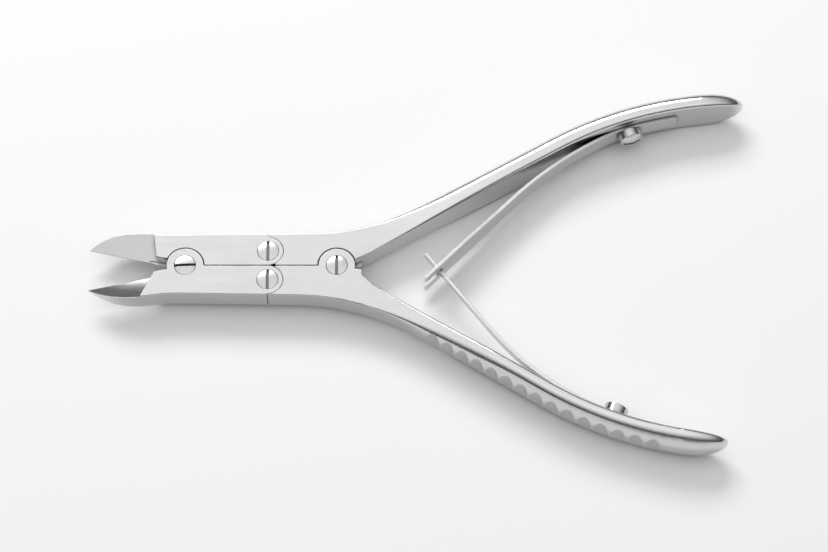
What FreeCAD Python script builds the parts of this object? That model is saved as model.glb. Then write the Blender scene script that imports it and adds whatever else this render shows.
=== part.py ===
import FreeCAD, Part
import math
import os

from FreeCAD import Placement, Rotation, Vector

# Double-action cutting pliers: two handles on one pivot spread two links, and the links
# turn two blades about a pivot of their own. Every joint is a lap joint: a front lug and
# a back lug, each half as thick as the joint, held by a screw. Two leaf springs between
# the grips hold the tool open, hooked through each other where they cross.
#
# The plan is drawn about the handle pivot: X runs along the tool's axis towards the
# grips, Y across the tool, and Z up from the lowest side of the grips. The lower half
# mirrors the upper one, so most functions take side = 1 (upper) or -1 (lower).

doc = FreeCAD.newDocument("double_action_cutter")


# ------------------------------------------------------------------ driving dimensions
DIMENSIONS = {
    # whole tool
    "plan_shift": -24.1,  # X of the handle pivot in the tool's own frame
    "grip_width": 13.0,  # along Z
    "joint_thickness": 7.6,
    "upper_side_y": 10.4,  # from the axis to the side of the closed joint block
    "lower_side_y": 9.3,
    "seam_gap": 0.15,  # from the axis to each half's inner face
    "lap_gap": 0.05,  # from the middle plane to each recess floor
    "link_gap": 0.15,  # from the link pivots' X to each end face
    "edge_radius": 0.4,
    "shaft_edge_radius": 0.46,  # a little more, so that the grip starts inside the plates
    # pivots
    "jaw_pivot_x": -44.0,
    "link_x": -20.0,
    "link_y": 4.55,
    "jaw_lug_radius": 5.35,
    "handle_lug_radius": 5.3,
    "pivot_recess_radius": 5.65,
    "link_lug_radius": 4.4,
    "link_recess_radius": 4.55,
    "link_relief": 2.2,  # clears the link's corner when it swings
    # jaws
    "tip_x": -72.2,
    "cut_angle": 12.6,  # from the axis to each cutting edge, degrees
    "facet_angle": 26.0,
    "facet_gap": 0.3,  # from the cutting edge to where an edge counts as outer
    "crown_x": -60.0,  # widest point of the blade
    "upper_crown_y": 10.3,
    "lower_crown_y": 10.0,
    "waist_x": -46.0,
    "upper_waist_y": 10.1,
    "lower_waist_y": 8.9,
    "lug_edge_start": 5.2,  # from the jaw pivot's X to where the cutting edge starts
    "recess_edge_start": 10.8,  # the same where the other jaw's lug takes room
    "recess_floor_y": 2.25,
    "recess_edge_run": 0.5,  # the last step of that room's floor, along X
    "recess_edge_rise": 0.75,  # and across
    # grips
    "grip_start": 10.4,
    "grip_line_x": 17.3,  # the straight inner face passes this X at grip_line_y
    "upper_grip_line_y": 8.6,
    "lower_grip_line_y": 10.4,
    "upper_grip_angle": 30.3,
    "lower_grip_angle": 31.8,
    "upper_grip_thickness": 6.1,
    "lower_grip_thickness": 5.0,
    "upper_bend_x": 66.0,  # where the straight grip starts to curve in
    "lower_bend_x": 61.0,
    "grip_bend_radius": 105.0,
    "flare_x": 22.0,  # where the outer flare meets the straight grip
    "upper_flare_radius": 58.0,
    "lower_flare_radius": 65.0,
    "crotch_x": 7.2,
    "crotch_y": 3.0,
    "lug_nose_turn": 12.0,  # where the crotch meets the front lug, degrees about the pivot
    "recess_nose_turn": 21.0,
    "recess_nose_inset": 0.3,  # inside the lug's radius
    "crown_radius": 9.0,
    "corner_radius": 2.6,
    "inner_edge_radius": 0.3,  # of the inner face, where the grip starts
    "inner_corner_radius": 1.0,  # and along the grip
    "round_full_x": 34.0,  # where the grip has its full roundness
    "width_full_x": 53.0,  # where it has its full width
    "upper_grip_end": 120.4,
    "lower_grip_end": 111.5,
    "grip_nose": 13.0,
    "upper_nose_share": 0.45,  # how much of the nose's taper is on the inner face
    "lower_nose_share": 0.12,
    # finger grooves
    "groove_count": 15,
    "groove_radius": 3.4,
    "groove_depth": 0.75,
    "groove_pitch": 4.93,
    "groove_start": -36.0,  # along the grip, from where it starts to curve
    # pivot screws
    "pin_radius": 2.0,
    "pin_bore_radius": 2.05,
    "jaw_pin_bore_radius": 2.12,
    "head_radius": 3.05,
    "head_bore_radius": 3.15,
    "head_height": 1.8,
    "head_bore_depth": 1.9,
    "head_dome": 0.25,
    "slot_width": 0.8,
    "slot_depth": 0.7,
    # leaf springs and their screws
    "leaf_thickness": 0.9,
    "leaf_gap": 0.04,
    "leaf_bend_radius": 18.0,  # the set that each leaf has beside its screw
    "leaf_cross_x": 29.8,
    "upper_leaf_tail_x": 100.4,
    "lower_leaf_tail_x": 90.0,
    "upper_leaf_screw_x": 86.0,
    "lower_leaf_screw_x": 79.2,
    "leaf_contact": 3.4,  # the leaf lies on its grip to this far past its screw
    "upper_leaf_set_angle": 27.0,  # the leaf's slope where its set ends
    "lower_leaf_set_angle": 28.0,
    "upper_leaf_angle": 45.5,  # its slope where it crosses the axis
    "lower_leaf_angle": 52.3,
    "upper_leaf_reach": 6.0,  # past the crossing
    "lower_leaf_reach": 6.4,
    "fork_slot_width": 2.8,
    "fork_slot_length": 6.8,
    "leaf_hole_radius": 1.6,
    "leaf_screw_radius": 3.5,
    "leaf_screw_head": 3.5,
    "leaf_screw_dome": 1.1,
    "leaf_shank_radius": 1.5,
    "leaf_shank_length": 4.6,
    "leaf_shank_gap": 0.1,  # past the end of the shank
    "leaf_screw_gap": 0.08,  # the flat under the head, above the curved leaf
}

sheet = doc.addObject("Spreadsheet::Sheet", "Sizes")
for row, (alias, value) in enumerate(DIMENSIONS.items(), start=1):
    sheet.set(f"A{row}", alias)
    sheet.set(f"B{row}", str(value))
    sheet.setAlias(f"B{row}", alias)
doc.recompute()


def size(alias):
    """A driving dimension, as the sheet holds it."""
    return float(sheet.get(alias))


def side_size(side, alias):
    """A driving dimension that differs between the upper and the lower half."""
    return size(("upper_" if side > 0 else "lower_") + alias)


MIDDLE = "Sizes.grip_width / 2"
HALF = "Sizes.joint_thickness / 2"
BOTTOM = f"{MIDDLE} - {HALF}"
TOP = f"{MIDDLE} + {HALF}"
OVERCUT = 1.0  # how far a cutting tool stands out of what it cuts
middle_z = size("grip_width") / 2
half_joint = size("joint_thickness") / 2


# ------------------------------------------------------------------ drawing helpers
def mirrored(outline, side):
    """The outline, mirrored in the tool's axis for the lower half."""
    def flip(item):
        if isinstance(item, tuple):
            return tuple(flip(point) for point in item)
        return Vector(item.x, side * item.y, 0)

    return [flip(item) for item in outline]


def sketch(name, outline, placement=Placement()):
    """A closed sketch. An outline is a start point and then, for each stretch, the end
    of a line or the pair (a point on the arc, the end of the arc)."""
    drawing = doc.addObject("Sketcher::SketchObject", name)
    drawing.Placement = placement
    here = outline[0]
    for item in outline[1:] + outline[:1]:
        through, end = item if isinstance(item, tuple) else (None, item)
        if (end - here).Length < 1e-6:
            continue
        if through is None:
            drawing.addGeometry(Part.LineSegment(here, end))
        else:
            drawing.addGeometry(Part.Arc(here, through, end))
        here = end
    return drawing


def extruded(name, base, direction, length):
    """A solid swept from a sketch along a direction; length is an expression."""
    solid = doc.addObject("Part::Extrusion", name)
    solid.Base = base
    solid.DirMode = "Custom"
    solid.Dir = direction
    solid.Solid = True
    solid.setExpression("LengthFwd", length)
    return solid


def prism(name, outline, bottom, height):
    """An upright solid on a plan outline; bottom and height are expressions."""
    solid = extruded(name, sketch(name + "_plan", outline), Vector(0, 0, 1), height)
    solid.setExpression("Placement.Base.z", bottom)
    return solid


def cylinder(name, centre, radius, bottom, height):
    """An upright cylinder, every size and place an expression."""
    solid = doc.addObject("Part::Cylinder", name)
    for axis, place in zip("xyz", (*centre, bottom)):
        solid.setExpression(f"Placement.Base.{axis}", place)
    solid.setExpression("Radius", radius)
    solid.setExpression("Height", height)
    return solid


def fused(name, solids):
    joined = doc.addObject("Part::MultiFuse", name)
    joined.Shapes = solids
    return joined


def common(name, solids):
    shared = doc.addObject("Part::MultiCommon", name)
    shared.Shapes = solids
    return shared


def cut(name, base, tools):
    result = doc.addObject("Part::Cut", name)
    result.Base = base
    result.Tool = tools[0] if len(tools) == 1 else fused(name + "_tools", tools)
    return result


def rounded(name, base, radius, wanted):
    """The base with every edge filleted that wanted(edge) picks."""
    doc.recompute()
    fillet = doc.addObject("Part::Fillet", name)
    fillet.Base = base
    edges = enumerate(base.Shape.Edges, start=1)
    fillet.Edges = [(number, radius, radius) for number, edge in edges if wanted(edge)]
    return fillet


def finished(solid, label):
    """Names a sub-part and moves it from the plan's frame to the tool's own frame."""
    solid.Label = label
    solid.setExpression("Placement.Base.x", "Sizes.plan_shift")
    sub_parts.append(solid)
    return solid


sub_parts = []


# ------------------------------------------------------------------ lap joints
JAW_PIVOT = ("Sizes.jaw_pivot_x", "0")
HANDLE_PIVOT = ("0", "0")
LINK_PIVOT = {1: ("Sizes.link_x", "Sizes.link_y"), -1: ("Sizes.link_x", "-Sizes.link_y")}
LAYER_BOTTOM = {"front": MIDDLE, "back": BOTTOM}


def lug(name, pivot, radius, layer):
    return cylinder(name, pivot, radius, LAYER_BOTTOM[layer], HALF)


def recess(name, pivot, radius, layer):
    """Room for the other half's lug, a little deeper than the middle plane."""
    bottom = f"{MIDDLE} - Sizes.lap_gap" if layer == "front" else f"{BOTTOM} - {OVERCUT}"
    return cylinder(name, pivot, radius, bottom, f"{HALF} + Sizes.lap_gap + {OVERCUT}")


def bores(name, pivot, layer, clearance_radius):
    """A front lug is bored clear of the pin and counterbored; a back lug is threaded."""
    if layer == "back":
        return [cylinder(name, pivot, "Sizes.pin_radius", f"{BOTTOM} - {OVERCUT}",
                         f"{HALF} + {2 * OVERCUT}")]
    hole = cylinder(name, pivot, clearance_radius, f"{MIDDLE} - {OVERCUT}",
                    f"{HALF} + {2 * OVERCUT}")
    seat = cylinder(name + "_seat", pivot, "Sizes.head_bore_radius",
                    f"{TOP} - Sizes.head_bore_depth", f"Sizes.head_bore_depth + {OVERCUT}")
    return [hole, seat]


def lap_part(name, side, outlines, pivots):
    """One half of the joint block: two plates, their lugs, recesses and bores.
    pivots lists (key, pivot, lug radius, recess radius, lug's layer, bore radius)."""
    solids = []
    hollows = []
    for layer in ("front", "back"):
        outline, soft = outlines[layer]
        plate = prism(f"{name}_{layer}", mirrored(outline, side), LAYER_BOTTOM[layer], HALF)
        face_z = middle_z + (half_joint if layer == "front" else -half_joint)
        solids.append(rounded(f"{name}_{layer}_round", plate, size("edge_radius"),
                              lambda edge: on_outer_edge(edge, soft, face_z)))
    for key, pivot, lug_radius, recess_radius, lug_layer, bore_radius in pivots:
        other = "back" if lug_layer == "front" else "front"
        solids.append(lug(f"{name}_{key}_lug", pivot, lug_radius, lug_layer))
        hollows.append(recess(f"{name}_{key}_recess", pivot, recess_radius, other))
        hollows += bores(f"{name}_{key}_bore", pivot, lug_layer, bore_radius)
    return solids, hollows


def on_outer_edge(edge, outer_y, face_z):
    """An edge of a plate's outer side, in the plane of its outer face."""
    low, high = edge.BoundBox.ZMin, edge.BoundBox.ZMax
    middle = edge.valueAt((edge.FirstParameter + edge.LastParameter) / 2)
    flat = abs(low - face_z) < 1e-4 and abs(high - face_z) < 1e-4
    return flat and abs(middle.y) > outer_y(middle.x)


# ------------------------------------------------------------------ jaws
cut_slope = math.tan(math.radians(size("cut_angle")))


def cutting_y(x):
    """Height of the cutting edge above the axis."""
    return cut_slope * (size("jaw_pivot_x") - x)


def jaw_outer_side(side):
    """From the tip over the blade's crown, down to the waist, and straight to the link."""
    tip = Vector(size("tip_x"), cutting_y(size("tip_x")), 0)
    crown = Vector(size("crown_x"), side_size(side, "crown_y"), 0)
    waist = Vector(size("waist_x"), side_size(side, "waist_y"), 0)
    reach = crown - tip
    radius = (reach.x ** 2 + reach.y ** 2) / (2 * reach.y)
    middle_x = (tip.x + crown.x) / 2
    drop = radius - math.sqrt(radius ** 2 - (crown.x - middle_x) ** 2)
    sides = [tip, (Vector(middle_x, crown.y - drop, 0), crown)]
    return sides + eased(crown, waist) + [Vector(size("link_x") - size("link_gap"),
                                                 side_size(side, "side_y"), 0)]


def eased(start, end):
    """Two equal arcs from start to end, both level where they begin and end."""
    run = (end - start) / 2
    radius = (run.x ** 2 + run.y ** 2) / (2 * abs(run.y))
    sag = math.copysign(radius - math.sqrt(radius ** 2 - (run.x / 2) ** 2), run.y)
    first = Vector(start.x + run.x / 2, start.y + sag, 0)
    second = Vector(end.x - run.x / 2, end.y - sag, 0)
    return [(first, start + run), (second, end)]


def jaw_link_end(layer):
    x, y, gap = size("link_x"), size("link_y"), size("seam_gap")
    end_x = x - size("link_gap") if layer == "front" else x - size("link_relief")
    corner = x if layer == "front" else end_x
    return [Vector(x - size("link_gap"), y, 0), Vector(corner, y, 0), Vector(corner, gap, 0)]


def jaw_inner_side(has_lug):
    """From the joint's seam to the cutting edge; with a recess, the edge starts later."""
    x, gap = size("jaw_pivot_x"), size("seam_gap")
    if has_lug:
        edge_x = x - size("lug_edge_start")
        return [Vector(x, gap, 0), Vector(edge_x, cutting_y(edge_x), 0)]
    floor_y, edge_x = size("recess_floor_y"), x - size("recess_edge_start")
    return [Vector(x, gap, 0), Vector(x, floor_y, 0),
            Vector(x - size("pivot_recess_radius"), floor_y, 0),
            Vector(edge_x + size("recess_edge_run"), floor_y + size("recess_edge_rise"), 0),
            Vector(edge_x, cutting_y(edge_x), 0)]


# Where a blade's facet ends, from the cutting edge outwards: on the layer that has this
# jaw's lug, and on the layer that makes room for the other jaw's lug.
LUG_WALL = [Vector(-52.6, 1.2, 0), Vector(-56.2, 8.6, 0), Vector(-57.6, 11.5, 0)]
RECESS_WALL = [Vector(-49.0, 2.0, 0), Vector(-52.4, 3.0, 0), Vector(-53.2, 9.6, 0),
               Vector(-53.4, 11.5, 0)]


def facet_tool(name, side, layer, wall):
    """Everything between a blade's sloping facet and its face, left of the wall."""
    angle = math.radians(size("cut_angle"))
    up = 1 if layer == "front" else -1
    along = Vector(-math.cos(angle), side * math.sin(angle), 0)
    across = Vector(math.sin(angle), side * math.cos(angle), 0)
    upright = Vector(0, 0, 1)
    place = Placement(Vector(size("jaw_pivot_x"), 0, middle_z),
                      Rotation(across, upright, across.cross(upright), "XYZ"))
    width = 2 * side_size(side, "crown_y")
    rise = up * width * math.tan(math.radians(size("facet_angle")))
    wedge = [Vector(0, 0, 0), Vector(width, rise, 0), Vector(-OVERCUT, rise, 0),
             Vector(-OVERCUT, 0, 0)]
    slope = extruded(name + "_slope", sketch(name + "_wedge", wedge, place), along,
                     "Sizes.jaw_pivot_x - Sizes.tip_x + 5")
    far_x = size("tip_x") - OVERCUT
    reach = [*wall, Vector(far_x, wall[-1].y, 0), Vector(far_x, -OVERCUT, 0),
             Vector(wall[0].x, -OVERCUT, 0)]
    bottom = MIDDLE if layer == "front" else f"{BOTTOM} - {OVERCUT}"
    left = prism(name + "_left", mirrored(reach, side), bottom, f"{HALF} + {OVERCUT}")
    return common(name, [slope, left])


def jaw(label, side, lug_layer):
    """lug_layer is the layer of this jaw's lug on the jaw pivot."""
    def soft(x):
        return max(cutting_y(x) + size("facet_gap"), 0) if x < size("waist_x") else inside_y

    inside_y = side_size(side, "waist_y") - 1
    outlines = {}
    for layer in ("front", "back"):
        outline = jaw_outer_side(side) + jaw_link_end(layer)
        outlines[layer] = (outline + jaw_inner_side(layer == lug_layer), soft)
    solids, hollows = lap_part(label, side, outlines, [
        ("pivot", JAW_PIVOT, "Sizes.jaw_lug_radius", "Sizes.pivot_recess_radius", lug_layer,
         "Sizes.jaw_pin_bore_radius"),
        ("link", LINK_PIVOT[side], "Sizes.link_lug_radius", "Sizes.link_recess_radius",
         "front", "Sizes.pin_bore_radius"),
    ])
    for layer in ("front", "back"):
        wall = LUG_WALL if layer == lug_layer else RECESS_WALL
        hollows.append(facet_tool(f"{label}_{layer}_facet", side, layer, wall))
    body = fused(label + "_blank", solids)
    finished(cut(label + "_cut", body, hollows), label)


# ------------------------------------------------------------------ handles
def polar(centre, radius, angle):
    """A point of a circle, its angle measured from the top towards the jaws."""
    return centre + Vector(-math.sin(angle), math.cos(angle), 0) * radius


class GripLine:
    """A grip seen from the front, drawn on the upper side. Its inner face is straight and
    then curves in; its outer side is parallel to that and flares out of the joint block."""

    def __init__(self, side):
        self.angle = math.radians(side_size(side, "grip_angle"))
        self.slope = math.tan(self.angle)
        self.thickness = side_size(side, "grip_thickness")
        self.base = Vector(size("grip_line_x"), side_size(side, "grip_line_y"), 0)
        self.radius = size("grip_bend_radius")
        self.bend_start = self.straight(side_size(side, "bend_x"), 0)
        self.centre = polar(self.bend_start, -self.radius, self.angle)
        self.flare_radius = side_size(side, "flare_radius")
        self.flare_start = self.straight(size("flare_x"), self.thickness)
        self.flare_centre = polar(self.flare_start, self.flare_radius, self.angle)

    def straight(self, x, offset):
        """A point of the straight inner face, or of a line parallel to it further out."""
        rise = self.slope * (x - self.base.x) + offset / math.cos(self.angle)
        return Vector(x, self.base.y + rise, 0)

    def inner(self, x, offset=0):
        """Height of the inner face, or of a line parallel to it further out."""
        radius = self.radius + offset
        if x < self.centre.x - radius * math.sin(self.angle):
            return self.straight(x, offset).y
        return self.centre.y + math.sqrt(radius ** 2 - (self.centre.x - x) ** 2)

    def outer(self, x):
        """Height of the outer side, its flare and its grip."""
        if x > self.flare_start.x:
            return self.inner(x, self.thickness)
        reach = self.flare_radius ** 2 - (x - self.flare_centre.x) ** 2
        return self.flare_centre.y - math.sqrt(reach)


GRIP_LINES = {side: GripLine(side) for side in (1, -1)}
NEARLY_FLAT = 0.002  # curvature of the outer side where the grip starts, 1/mm


def smooth(x, start, end):
    """0 before start, 1 after end, and level at both."""
    share = min(1, max(0, (x - start) / (end - start)))
    return share * share * (3 - 2 * share)


def between(first, last, share):
    return first + (last - first) * share


def on_circle(radius, degrees):
    """A point of a circle about the handle pivot."""
    turn = math.radians(degrees)
    return Vector(radius * math.cos(turn), radius * math.sin(turn), 0)


def handle_outline(side, layer, has_lug):
    """The flat front end of a handle, from the link to where the grip's loft starts."""
    line = GRIP_LINES[side]
    x, y, gap = size("link_x"), size("link_y"), size("seam_gap")
    near_x = x + size("link_gap")
    corner = Vector(near_x, side_size(side, "side_y"), 0)
    to_corner = corner - line.flare_centre
    spread = math.acos(line.flare_radius / to_corner.Length)
    touch_angle = math.atan2(to_corner.y, to_corner.x) + spread
    touch = line.flare_centre + on_circle(line.flare_radius, math.degrees(touch_angle))
    start_x = size("grip_start")
    middle_x = (touch.x + start_x) / 2
    outer = [corner, touch, (Vector(middle_x, line.outer(middle_x), 0),
                             Vector(start_x, line.outer(start_x), 0))]
    crotch = [Vector(start_x, line.inner(start_x), 0),
              Vector(size("crotch_x"), size("crotch_y"), 0)]
    lug_radius = size("handle_lug_radius")
    if has_lug:
        nose = [Vector(size("crotch_x"), size("crotch_y") / 2, 0),
                on_circle(lug_radius, size("lug_nose_turn"))]
    else:
        nose = [on_circle(lug_radius - size("recess_nose_inset"), size("recess_nose_turn"))]
    nose.append(Vector(0, gap, 0))
    end_x = x + size("link_relief") if layer == "front" else x
    return outer + crotch + nose + [Vector(end_x, gap, 0), Vector(end_x, y, 0),
                                    Vector(near_x, y, 0)]


def grip_section(name, side, x, scale):
    """The grip's section across X: flat inside, crowned outside, shrunk near the end."""
    inner, outer = GRIP_LINES[side].inner(x), GRIP_LINES[side].outer(x)
    shrink, share = (1 - scale) * (outer - inner), side_size(side, "nose_share")
    inner, outer = inner + share * shrink, outer - (1 - share) * shrink
    start = size("grip_start")
    widening = smooth(x, start, size("width_full_x"))
    rounding = smooth(x, start, size("round_full_x"))
    half = scale * between(half_joint, middle_z, widening)
    corner = scale * between(size("shaft_edge_radius"), size("corner_radius"), rounding)
    inner_corner = scale * between(size("inner_edge_radius"), size("inner_corner_radius"),
                                   rounding)
    radius = scale / between(NEARLY_FLAT, 1 / size("crown_radius"), rounding)
    corner_z = half - corner
    tilt = math.asin(corner_z / (radius - corner))
    corner_y = outer - radius + (radius - corner) * math.cos(tilt)

    def at(y, z):
        return Vector(side * y, middle_z + z, 0)

    def corner_point(angle, up):
        return at(corner_y + corner * math.cos(angle), up * (corner_z + corner * math.sin(angle)))

    def inner_arc(up):
        swing = inner_corner * (1 - math.sqrt(0.5))
        ends = [at(inner + inner_corner, up * half), at(inner, up * (half - inner_corner))]
        return at(inner + swing, up * (half - swing)), ends

    bevel = (math.pi / 2 + tilt) / 2
    low_through, low_ends = inner_arc(-1)
    high_through, high_ends = inner_arc(1)
    outline = [
        low_ends[0],
        corner_point(math.pi / 2, -1),
        (corner_point(bevel, -1), corner_point(tilt, -1)),
        (at(outer, 0), corner_point(tilt, 1)),
        (corner_point(bevel, 1), corner_point(math.pi / 2, 1)),
        high_ends[0],
        (high_through, high_ends[1]),
        low_ends[1],
        (low_through, low_ends[0]),
    ]
    return sketch(name, outline, Placement(Vector(x, 0, 0), Rotation(Vector(1, 1, 1), 120)))


def lofted(name, side, places):
    """A solid through the grip's sections; places lists (X, scale)."""
    loft = doc.addObject("Part::Loft", name)
    loft.Sections = [grip_section(f"{name}_{number}", side, x, scale)
                     for number, (x, scale) in enumerate(places)]
    loft.Solid = True
    return loft


def grip(name, side):
    """The grip: a long shaft, and a nose whose sections shrink as an ellipse does."""
    length, end_x = size("grip_nose"), side_size(side, "grip_end")
    nose_x = end_x - length
    spans = 14
    span = (nose_x - size("grip_start")) / spans
    shaft = [(nose_x - span * number, 1) for number in range(spans, -1, -1)]
    swings = [math.radians(turn) for turn in (0, 18, 36, 52, 66, 77, 85)]
    nose = [(nose_x + length * math.sin(swing), math.cos(swing)) for swing in swings]
    return [lofted(name + "_shaft", side, shaft), lofted(name + "_nose", side, nose)]


def groove(name, side, distance):
    """A shallow groove across the outer side of the grip."""
    line = GRIP_LINES[side]
    out = line.radius + line.thickness + size("groove_radius") - size("groove_depth")
    along = Vector(math.cos(line.angle), math.sin(line.angle), 0)
    if distance < 0:
        middle = polar(line.centre, out, line.angle) + along * distance
    else:
        middle = polar(line.centre, out, line.angle - distance / line.radius)
    return cylinder(name, (str(middle.x), str(side * middle.y)), "Sizes.groove_radius",
                    f"-{OVERCUT}", f"Sizes.grip_width + {2 * OVERCUT}")


def handle(label, side, lug_layer, grooves=0):
    """lug_layer is the layer of this handle's lug on the handle pivot."""
    def soft(x):
        return side_size(side, "waist_y") - 1 if x < size("grip_start") - OVERCUT else math.inf

    outlines = {}
    for layer in ("front", "back"):
        outlines[layer] = (handle_outline(side, layer, layer == lug_layer), soft)
    solids, hollows = lap_part(label, side, outlines, [
        ("pivot", HANDLE_PIVOT, "Sizes.handle_lug_radius", "Sizes.pivot_recess_radius",
         lug_layer, "Sizes.pin_bore_radius"),
        ("link", LINK_PIVOT[side], "Sizes.link_lug_radius", "Sizes.link_recess_radius",
         "back", "Sizes.pin_bore_radius"),
    ])
    solids += grip(label + "_grip", side)
    hollows.append(leaf_hole(label + "_leaf_thread", side, "Sizes.leaf_shank_radius",
                             f"Sizes.leaf_shank_length + Sizes.leaf_shank_gap + {OVERCUT}"))
    for number in range(grooves):
        distance = size("groove_start") + number * size("groove_pitch")
        hollows.append(groove(f"{label}_groove_{number + 1}", side, distance))
    body = fused(label + "_blank", solids)
    finished(cut(label + "_cut", body, hollows), label)


# ------------------------------------------------------------------ screws
def screw(label, profile, slot_top, slot_depth, place):
    """A slotted screw: a turned profile in the XZ plane, and a slot across its head."""
    body = doc.addObject("PartDesign::Body", label + "_body")
    planes = {plane.Role: plane for plane in body.Origin.OriginFeatures}
    turned = body.newObject("Sketcher::SketchObject", label + "_profile")
    turned.AttachmentSupport = [(planes["XZ_Plane"], "")]
    turned.MapMode = "FlatFace"
    here = profile[0]
    for item in profile[1:] + profile[:1]:
        through, end = item if isinstance(item, tuple) else (None, item)
        edge = Part.LineSegment(here, end) if through is None else Part.Arc(here, through, end)
        turned.addGeometry(edge)
        here = end
    turning = body.newObject("PartDesign::Revolution", label + "_turning")
    turning.Profile = turned
    turning.ReferenceAxis = (turned, ["V_Axis"])
    turning.Angle = 360
    slot = body.newObject("Sketcher::SketchObject", label + "_slot")
    slot.AttachmentSupport = [(planes["XZ_Plane"], "")]
    slot.MapMode = "FlatFace"
    half = size("slot_width") / 2
    corners = [Vector(-half, slot_top - slot_depth, 0), Vector(half, slot_top - slot_depth, 0),
               Vector(half, slot_top + OVERCUT, 0), Vector(-half, slot_top + OVERCUT, 0)]
    for number, corner in enumerate(corners):
        slot.addGeometry(Part.LineSegment(corner, corners[(number + 1) % 4]))
    pocket = body.newObject("PartDesign::Pocket", label + "_pocket")
    pocket.Profile = slot
    pocket.Midplane = True
    pocket.Length = 4 * size("leaf_screw_radius")
    body.Tip = pocket
    body.Placement = place
    body.Label = label
    body.setExpression("Placement.Base.x", f"{place.Base.x} + Sizes.plan_shift")
    sub_parts.append(body)


def pivot_screw(label, x, y, slot_turn):
    """A flush screw through a front lug into a back lug, its head slightly domed."""
    bottom, top = middle_z - half_joint, middle_z + half_joint
    under_head = top - size("head_height")
    head, pin, rise = size("head_radius"), size("pin_radius"), size("head_dome")
    radius = (head ** 2 + rise ** 2) / (2 * rise)
    quarter = top - (radius - rise) + math.sqrt(radius ** 2 - (head / 2) ** 2)
    bevel = 0.3
    profile = [Vector(0, bottom, 0), Vector(pin - bevel, bottom, 0),
               Vector(pin, bottom + bevel, 0), Vector(pin, under_head, 0),
               Vector(head, under_head, 0), Vector(head, top, 0),
               (Vector(head / 2, quarter, 0), Vector(0, top + rise, 0))]
    place = Placement(Vector(x, y, 0), Rotation(Vector(0, 0, 1), slot_turn))
    screw(label, profile, top + rise, size("slot_depth") + rise, place)


# ------------------------------------------------------------------ leaf springs
leaf_radius = size("grip_bend_radius") - size("leaf_gap") - size("leaf_thickness") / 2
LEAF_SPAN = 160  # across the tool, past both leaves

# (X, half-width) from tip to tail: a wide fork, and a narrow tongue that widens at its screw
FORK_WIDTHS = [(20, 4.2), (37, 4.2), (47, 3.4), (77, 2.9), (102, 2.4)]
TONGUE_WIDTHS = [(20, 1.0), (33, 1.0), (52, 1.5), (74, 3.5), (84, 3.5), (92, 2.2)]


def leaf_turn(side, x):
    """The slope of the leaf at x, where it lies along its grip."""
    return math.asin((GRIP_LINES[side].centre.x - x) / leaf_radius)


def leaf_arcs(side):
    """The leaf's arcs from its tail to its straight run, each (centre, radius, first turn,
    last turn): along the grip, round the set beside the screw, and towards the crossing."""
    tail = leaf_turn(side, side_size(side, "leaf_tail_x"))
    contact = leaf_turn(side, side_size(side, "leaf_screw_x") - size("leaf_contact"))
    bent = math.radians(side_size(side, "leaf_set_angle"))
    end = math.radians(side_size(side, "leaf_angle"))
    centre, set_radius = GRIP_LINES[side].centre, size("leaf_bend_radius")
    set_centre = polar(polar(centre, leaf_radius, contact), -set_radius, contact)
    free = polar(set_centre, set_radius, bent)
    slope = math.tan(end)
    long_radius = ((free.x - size("leaf_cross_x")) * slope - free.y) \
        / (slope * (math.sin(end) - math.sin(bent)) - (math.cos(bent) - math.cos(end)))
    return [(centre, leaf_radius, tail, contact), (set_centre, set_radius, contact, bent),
            (polar(free, -long_radius, bent), long_radius, bent, end)]


def leaf_outline(side):
    """The leaf's edge-on shape: its outer face, its tip, and back along its inner face."""
    half = size("leaf_thickness") / 2
    arcs = leaf_arcs(side)
    end, reach = arcs[-1][3], side_size(side, "leaf_reach")
    tip = Vector(size("leaf_cross_x") - reach * math.cos(end), -reach * math.sin(end), 0)
    outline = [polar(arcs[0][0], leaf_radius + half, arcs[0][2])]
    for centre, radius, first, last in arcs:
        outline.append((polar(centre, radius + half, (first + last) / 2),
                        polar(centre, radius + half, last)))
    outline += [polar(tip, half, end), polar(tip, -half, end)]
    for centre, radius, first, last in reversed(arcs):
        outline += [polar(centre, radius - half, last),
                    (polar(centre, radius - half, (first + last) / 2),
                     polar(centre, radius - half, first))]
    return outline


def leaf_frame(side):
    """Where a leaf's screw stands: at the leaf's inner face, Z into the grip."""
    angle = leaf_turn(side, side_size(side, "leaf_screw_x"))
    inset = size("leaf_thickness") / 2 + size("leaf_screw_gap")
    point = polar(GRIP_LINES[side].centre, leaf_radius - inset, angle)
    into = Vector(-math.sin(angle), side * math.cos(angle), 0)
    base = Vector(point.x, side * point.y, middle_z)
    upright = Vector(0, 0, 1)
    return Placement(base, Rotation(upright.cross(into), upright, into, "ZYX"))


def leaf_hole(name, side, radius, height):
    """A cylinder about a leaf screw's axis, from a little inside the leaf."""
    hole = doc.addObject("Part::Cylinder", name)
    start = Placement(Vector(0, 0, -OVERCUT), Rotation())
    hole.Placement = leaf_frame(side).multiply(start)
    hole.setExpression("Radius", radius)
    hole.setExpression("Height", height)
    return hole


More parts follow.
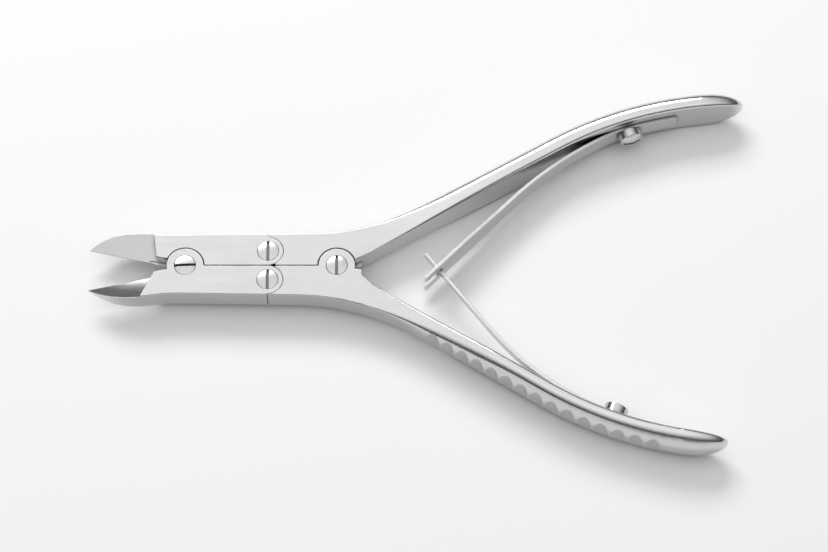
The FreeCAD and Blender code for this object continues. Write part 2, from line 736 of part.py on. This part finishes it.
def leaf_spring(label, side, widths, slotted):
    """A leaf cut to its widths, bored for its screw; the slotted one is the fork."""
    strip = prism(label + "_strip", mirrored(leaf_outline(side), side), "0",
                  "Sizes.grip_width")
    edge = [Vector(x, middle_z + half, 0) for x, half in widths]
    edge += [Vector(x, middle_z - half, 0) for x, half in reversed(widths)]
    upright = Placement(Vector(0, LEAF_SPAN / 2, 0), Rotation(Vector(1, 0, 0), 90))
    blank = extruded(label + "_width", sketch(label + "_edge", edge, upright),
                     Vector(0, -1, 0), str(LEAF_SPAN))
    leaf_body = common(label + "_leaf", [strip, blank])
    hollows = [leaf_hole(label + "_hole", side, "Sizes.leaf_hole_radius",
                         f"Sizes.leaf_thickness + {2 * OVERCUT}")]
    if slotted:
        slot = doc.addObject("Part::Box", label + "_slot")
        slot.setExpression("Length", f"Sizes.fork_slot_length + {OVERCUT}")
        slot.setExpression("Width", f"Sizes.leaf_thickness + {2 * OVERCUT}")
        slot.setExpression("Height", "Sizes.fork_slot_width")
        angle = side_size(side, "leaf_angle")
        along = Vector(math.cos(math.radians(angle)), math.sin(math.radians(angle)), 0)
        across = Vector(-along.y, along.x, 0)
        back = side_size(side, "leaf_reach") + OVERCUT
        corner = Vector(size("leaf_cross_x"), 0, middle_z - size("fork_slot_width") / 2) \
            - along * back - across * (size("leaf_thickness") / 2 + OVERCUT)
        slot.Placement = Placement(corner, Rotation(Vector(0, 0, 1), angle))
        hollows.append(slot)
    finished(cut(label + "_cut", leaf_body, hollows), label)


def leaf_screw(label, side):
    """A domed screw that holds a leaf to its grip; its thread stands along Z."""
    head, shank = size("leaf_screw_radius"), size("leaf_shank_radius")
    rise, rim = size("leaf_screw_dome"), size("leaf_screw_head") - size("leaf_screw_dome")
    radius = (head ** 2 + rise ** 2) / (2 * rise)
    quarter = -rim + (radius - rise) - math.sqrt(radius ** 2 - (head / 2) ** 2)
    profile = [Vector(0, -size("leaf_screw_head"), 0),
               (Vector(head / 2, quarter, 0), Vector(head, -rim, 0)),
               Vector(head, 0, 0), Vector(shank, 0, 0),
               Vector(shank, size("leaf_shank_length"), 0),
               Vector(0, size("leaf_shank_length"), 0)]
    along_grip = Placement(Vector(), Rotation(Vector(0, 0, 1), 90))  # the way its slot runs
    screw(label, profile, -size("leaf_screw_head") - OVERCUT, -size("slot_depth") - OVERCUT,
          leaf_frame(side) * along_grip)


# ------------------------------------------------------------------ the tool
jaw("upper_jaw", 1, "back")
jaw("lower_jaw", -1, "front")
handle("upper_handle", 1, "back")
handle("lower_handle", -1, "front", int(size("groove_count")))
pivot_screw("jaw_pivot_screw", size("jaw_pivot_x"), 0, 93)
pivot_screw("handle_pivot_screw", 0, 0, 0)
pivot_screw("upper_link_screw", size("link_x"), size("link_y"), 0)
pivot_screw("lower_link_screw", size("link_x"), -size("link_y"), 0)
leaf_spring("upper_spring", 1, FORK_WIDTHS, slotted=True)
leaf_spring("lower_spring", -1, TONGUE_WIDTHS, slotted=False)
leaf_screw("upper_spring_screw", 1)
leaf_screw("lower_spring_screw", -1)


# ------------------------------------------------------------------ check and export
doc.recompute()
for item in doc.Objects:
    if "Invalid" in item.State or "Error" in item.State:
        raise RuntimeError(f"{item.Name}: {item.State}")
os.makedirs("parts", exist_ok=True)
for part in sub_parts:
    if part.Shape.isNull() or not part.Shape.isValid():
        raise RuntimeError(f"{part.Label} has no valid shape")
    part.Shape.exportStep(f"parts/{part.Label}.step")
    box = part.Shape.BoundBox
    print(f"{part.Label}: {len(part.Shape.Solids)} solid, {part.Shape.Volume:.1f} mm3, "
          f"X {box.XMin:.1f}..{box.XMax:.1f} Y {box.YMin:.1f}..{box.YMax:.1f} "
          f"Z {box.ZMin:.2f}..{box.ZMax:.2f}")
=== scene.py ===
import math

import bmesh
import bpy
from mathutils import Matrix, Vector


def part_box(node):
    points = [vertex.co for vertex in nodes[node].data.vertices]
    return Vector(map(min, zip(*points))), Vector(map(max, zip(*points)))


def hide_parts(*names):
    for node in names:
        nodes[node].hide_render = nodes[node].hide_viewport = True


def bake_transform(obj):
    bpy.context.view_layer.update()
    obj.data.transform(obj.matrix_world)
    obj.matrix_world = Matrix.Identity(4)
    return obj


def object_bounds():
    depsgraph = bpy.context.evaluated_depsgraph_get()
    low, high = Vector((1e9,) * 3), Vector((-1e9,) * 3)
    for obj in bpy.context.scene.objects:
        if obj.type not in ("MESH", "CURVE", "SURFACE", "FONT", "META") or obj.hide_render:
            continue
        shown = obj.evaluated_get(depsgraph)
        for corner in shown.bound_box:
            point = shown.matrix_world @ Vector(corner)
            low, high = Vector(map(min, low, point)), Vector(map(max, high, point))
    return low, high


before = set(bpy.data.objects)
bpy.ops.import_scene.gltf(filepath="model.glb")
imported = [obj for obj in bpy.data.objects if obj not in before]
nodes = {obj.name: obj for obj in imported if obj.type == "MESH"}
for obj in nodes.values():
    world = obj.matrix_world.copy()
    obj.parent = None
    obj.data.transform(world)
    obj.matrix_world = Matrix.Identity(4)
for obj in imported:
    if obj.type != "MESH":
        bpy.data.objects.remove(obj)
cad_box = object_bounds()

MM = 0.001


# ------------------------------------------------------------------ nodes and materials
def new_material(name):
    material = bpy.data.materials.new(name)
    material.use_nodes = True
    tree = material.node_tree
    return material, tree, tree.nodes["Principled BSDF"]


def add(tree, kind, **values):
    """A node, its sockets set by name, with spaces written as underscores."""
    node = tree.nodes.new(kind)
    for key, value in values.items():
        label = key.replace("_", " ")
        if label in node.inputs:
            node.inputs[label].default_value = value
        else:
            setattr(node, key, value)
    return node


def socket(sockets, identifier):
    """A socket of a node whose sockets share their names, such as Mix."""
    return next(item for item in sockets if item.identifier == identifier)


def assign(piece, material):
    piece.data.materials.clear()
    piece.data.materials.append(material)


# ------------------------------------------------------------------ camera, light, floor
CAMERA_ELEVATION = 65.0  # degrees above the floor, looking along +Y
CAMERA_DISTANCE = 900 * MM
CAMERA_TARGET = Vector((-1.7, -3.7, 10.8)) * MM
CAMERA_NEAR_LIMIT = 10 * MM
FRAME_WIDTH = 239.5 * MM  # what the picture spans at the tool's joint
SENSOR_WIDTH = 36

FLOOR_RADIUS = 2.5
FLOOR_SIDES = 96
FLOOR_GAP = 0.05 * MM  # between the floor and the lowest side of the grips
FLOOR_GREY = 0.95
FLOOR_ROUGHNESS = 0.9
FLOOR_SPECULAR = 0.2

WORLD_STRENGTH = 1.22
WORLD_TONES = ((0.0, 0.03), (0.45, 0.14), (0.8, 0.66), (1.0, 1.0))  # (height, grey)


def make_camera():
    camera = bpy.data.objects.new("camera", bpy.data.cameras.new("camera"))
    bpy.context.scene.collection.objects.link(camera)
    pitch = math.radians(CAMERA_ELEVATION)
    offset = Vector((0, -math.cos(pitch), math.sin(pitch))) * CAMERA_DISTANCE
    camera.location = CAMERA_TARGET + offset
    camera.rotation_euler = (math.pi / 2 - pitch, 0, 0)
    camera.data.sensor_width = SENSOR_WIDTH
    camera.data.lens = SENSOR_WIDTH * CAMERA_DISTANCE / FRAME_WIDTH
    camera.data.clip_start = CAMERA_NEAR_LIMIT
    bpy.context.scene.camera = camera


def make_light(name, location, target, width, depth, watts):
    """A soft rectangular lamp that faces the target."""
    data = bpy.data.lights.new(name, "AREA")
    data.shape = "RECTANGLE"
    data.size = width
    data.size_y = depth
    data.energy = watts
    lamp = bpy.data.objects.new(name, data)
    bpy.context.scene.collection.objects.link(lamp)
    lamp.location = location
    aim = Vector(target) - Vector(location)
    lamp.rotation_euler = aim.to_track_quat("-Z", "Y").to_euler()


def make_floor():
    """A round pale floor, far larger than the view."""
    mesh = bpy.data.meshes.new("floor")
    shape = bmesh.new()
    bmesh.ops.create_circle(shape, cap_ends=True, segments=FLOOR_SIDES, radius=FLOOR_RADIUS)
    shape.to_mesh(mesh)
    shape.free()
    floor = bpy.data.objects.new("floor", mesh)
    floor.location.z = cad_box[0].z - FLOOR_GAP
    bpy.context.scene.collection.objects.link(floor)
    material, _, shader = new_material("floor_paper")
    shader.inputs["Base Color"].default_value = (FLOOR_GREY, FLOOR_GREY, FLOOR_GREY, 1)
    shader.inputs["Roughness"].default_value = FLOOR_ROUGHNESS
    shader.inputs["Specular IOR Level"].default_value = FLOOR_SPECULAR
    mesh.materials.append(material)


def make_world(strength, tones):
    """A studio that is white above and dark towards the horizon, which the steel reflects.
    tones lists (height of the direction, grey)."""
    world = bpy.data.worlds.new("studio")
    world.use_nodes = True
    tree = world.node_tree
    place = add(tree, "ShaderNodeTexCoord")
    split = add(tree, "ShaderNodeSeparateXYZ")
    tree.links.new(place.outputs["Generated"], split.inputs["Vector"])
    ramp = add(tree, "ShaderNodeValToRGB")
    stops = ramp.color_ramp.elements
    while len(stops) < len(tones):
        stops.new(0.5)  # each stop is moved to its own height below
    for stop, (height, grey) in zip(stops, tones):
        stop.position = height
        stop.color = (grey, grey, grey, 1)
    tree.links.new(split.outputs["Z"], ramp.inputs["Fac"])
    background = tree.nodes["Background"]
    tree.links.new(ramp.outputs["Color"], background.inputs["Color"])
    background.inputs["Strength"].default_value = strength
    bpy.context.scene.world = world


# ------------------------------------------------------------------ steel
LINE_NOISE = {"Scale": 900.0, "Detail": 6.0, "Roughness": 0.65}
CLOUD_NOISE = {"Scale": 90.0, "Detail": 4.0, "Roughness": 0.6}
CLOUD_RANGE = (0.3, 0.7)  # of the noise, from the shaded colour to the full one
CLOUD_SHADE = 0.95  # of the colour
SCRATCH_SCALE = 420.0
SCRATCH_WIDTH = 0.03  # of a cell
# painted shade: the steel's colour darkens where it sees little open sky within this reach
CREVICE_REACH = 1.5 * MM
CREVICE_RANGE = (0.3, 0.9)  # of the open sky, from the painted crevice shade to the full colour
CREVICE_SHADE = 0.1  # of the colour, as painted shade in crevices
EDGE_RADIUS = 0.2 * MM
ROUGHNESS_SPREAD = 0.05
BUMP_DEPTH = 0.02 * MM
SAMPLES = 4


def steel(name, colour, roughness, stretch, grain=0.22, wear=0.1):
    """Polished steel: fine lapping lines along one axis, faint clouds, small scratches and
    crevices darkened with painted shade. stretch scales the coordinates, and the lines run
    along its small one.
    grain and wear are how strongly the lines and the scratches show."""
    material, tree, shader = new_material(name)
    link = tree.links.new
    place = add(tree, "ShaderNodeTexCoord")
    mapping = add(tree, "ShaderNodeMapping", Scale=stretch)
    link(place.outputs["Object"], mapping.inputs["Vector"])
    lines = add(tree, "ShaderNodeTexNoise", **LINE_NOISE)
    link(mapping.outputs["Vector"], lines.inputs["Vector"])
    clouds = add(tree, "ShaderNodeTexNoise", **CLOUD_NOISE)
    link(place.outputs["Object"], clouds.inputs["Vector"])
    scratches = add(tree, "ShaderNodeTexVoronoi", feature="DISTANCE_TO_EDGE",
                    Scale=SCRATCH_SCALE)
    link(mapping.outputs["Vector"], scratches.inputs["Vector"])

    # colour: clouds, then painted shade in the crevices
    tint = add(tree, "ShaderNodeValToRGB")
    for stop, position, shade in zip(tint.color_ramp.elements, CLOUD_RANGE, (CLOUD_SHADE, 1)):
        stop.position = position
        stop.color = (*[channel * shade for channel in colour], 1)
    link(clouds.outputs["Fac"], tint.inputs["Fac"])
    # painted shade: ambient occlusion darkens the colour in crevices and between parts
    crevice = add(tree, "ShaderNodeAmbientOcclusion", samples=SAMPLES, Distance=CREVICE_REACH)
    open_sky = add(tree, "ShaderNodeMapRange", From_Min=CREVICE_RANGE[0],
                   From_Max=CREVICE_RANGE[1])
    link(crevice.outputs["AO"], open_sky.inputs["Value"])
    crevice_painted_shade = add(tree, "ShaderNodeMix", data_type="RGBA")
    dark = (*[channel * CREVICE_SHADE for channel in colour], 1)
    socket(crevice_painted_shade.inputs, "A_Color").default_value = dark
    link(open_sky.outputs["Result"], socket(crevice_painted_shade.inputs, "Factor_Float"))
    link(tint.outputs["Color"], socket(crevice_painted_shade.inputs, "B_Color"))
    link(socket(crevice_painted_shade.outputs, "Result_Color"), shader.inputs["Base Color"])

    # gloss
    rough = add(tree, "ShaderNodeMapRange", To_Min=roughness - ROUGHNESS_SPREAD,
                To_Max=roughness + ROUGHNESS_SPREAD)
    link(lines.outputs["Fac"], rough.inputs["Value"])
    link(rough.outputs["Result"], shader.inputs["Roughness"])
    shader.inputs["Metallic"].default_value = 1.0

    # relief: eased edges, then lines, then scratches
    eased = add(tree, "ShaderNodeBevel", samples=SAMPLES, Radius=EDGE_RADIUS)
    fine = add(tree, "ShaderNodeBump", Strength=grain, Distance=BUMP_DEPTH)
    link(eased.outputs["Normal"], fine.inputs["Normal"])
    link(lines.outputs["Fac"], fine.inputs["Height"])
    thin = add(tree, "ShaderNodeMapRange", From_Max=SCRATCH_WIDTH)
    link(scratches.outputs["Distance"], thin.inputs["Value"])
    worn = add(tree, "ShaderNodeBump", Strength=wear, Distance=BUMP_DEPTH)
    link(thin.outputs["Result"], worn.inputs["Height"])
    link(fine.outputs["Normal"], worn.inputs["Normal"])
    link(worn.outputs["Normal"], shader.inputs["Normal"])
    return material


# ------------------------------------------------------------------ leaf springs
LEAF_STEP = 0.8 * MM  # between the cuts across a leaf
LEAF_FLATNESS = math.radians(0.2)
LEAF_SHARP_EDGE = math.radians(30)
SAME_PLACE = 1e-7


def bending_leaf(name, material):
    """A copy of a leaf spring, cut across into thin strips and shaded smoothly, which
    stands in for the hidden part."""
    leaf = bpy.data.objects.new(name + "_leaf", nodes[name].data.copy())
    bpy.context.scene.collection.objects.link(leaf)
    shape = bmesh.new()
    shape.from_mesh(leaf.data)
    bmesh.ops.remove_doubles(shape, verts=shape.verts, dist=SAME_PLACE)
    bmesh.ops.dissolve_limit(shape, angle_limit=LEAF_FLATNESS, verts=shape.verts[:],
                             edges=shape.edges[:])
    low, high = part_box(name)
    count = round((high.x - low.x) / LEAF_STEP)
    for step in range(1, count):
        place = Vector((low.x + (high.x - low.x) * step / count, 0, 0))
        everything = shape.verts[:] + shape.edges[:] + shape.faces[:]
        bmesh.ops.bisect_plane(shape, geom=everything, dist=SAME_PLACE, plane_co=place,
                               plane_no=(1, 0, 0))
    shape.to_mesh(leaf.data)
    shape.free()
    leaf.data.shade_smooth()
    leaf.data.set_sharp_from_angle(angle=LEAF_SHARP_EDGE)
    smoothing = leaf.modifiers.new("even_normals", "WEIGHTED_NORMAL")
    smoothing.keep_sharp = True
    assign(leaf, material)
    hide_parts(name)
    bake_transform(leaf)


# ------------------------------------------------------------------ the making
bpy.context.scene.view_settings.view_transform = "Standard"
make_camera()
make_world(WORLD_STRENGTH, WORLD_TONES)
make_floor()
make_light("key", location=(-0.25, 0.85, 0.8), target=(0, 0, 0), width=0.8, depth=0.4,
           watts=8)

body_steel = steel("body_steel", colour=(0.66, 0.665, 0.67), roughness=0.2,
                   stretch=(0.08, 1, 1))
screw_steel = steel("screw_steel", colour=(0.6, 0.605, 0.61), roughness=0.2,
                    stretch=(1, 1, 1))
spring_steel = steel("spring_steel", colour=(0.68, 0.685, 0.69), roughness=0.24,
                     stretch=(1, 1, 1), grain=0.04, wear=0)
for name, node in nodes.items():
    finish = screw_steel if name.endswith("screw") else body_steel
    assign(node, spring_steel if name.endswith("spring") else finish)

bending_leaf("upper_spring", spring_steel)
bending_leaf("lower_spring", spring_steel)
